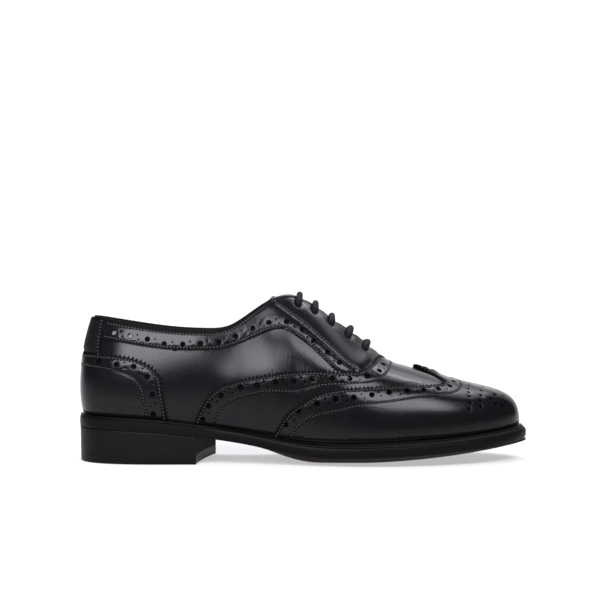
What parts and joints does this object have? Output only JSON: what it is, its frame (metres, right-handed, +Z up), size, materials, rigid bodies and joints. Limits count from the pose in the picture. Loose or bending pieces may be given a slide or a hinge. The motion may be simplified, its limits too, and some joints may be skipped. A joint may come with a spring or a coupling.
{
  "type": "wingtip dress shoe",
  "caption": "Right-foot full-brogue lace-up dress shoe: hollow leather upper with wing cap, counter and facings on a welted sole with a low stacked heel.",
  "frame": {"origin": "on the floor, under the middle of the sole's footprint", "axes": "+X from heel to toe, +Y towards the inner side of the foot, +Z up"},
  "size_m": [0.3004, 0.102, 0.1129],
  "materials": {
    "black_calf": "smooth polished black calf",
    "black_edge": "inked sole leather",
    "brown_stack": "dark stacked leather",
    "black_rubber": "matt",
    "grey_lining": "pale grey lining leather",
    "black_cord": "waxed round braid"
  },
  "bodies": {
    "root": {"upper": "black_calf", "wing_cap": "black_calf", "vamp_panel": "black_calf", "heel_counter": "black_calf", "topline_band_outer": "black_calf", "topline_band_inner": "black_calf", "facing_outer": "black_calf", "facing_inner": "black_calf", "back_strip": "black_calf", "welt": "black_calf", "outsole": "black_edge", "midsole": "black_edge", "heel_block": "brown_stack", "top_lift": "black_rubber", "insole": "grey_lining", "tongue": "black_calf", "lace": "black_cord"}
  },
  "joints": []
}
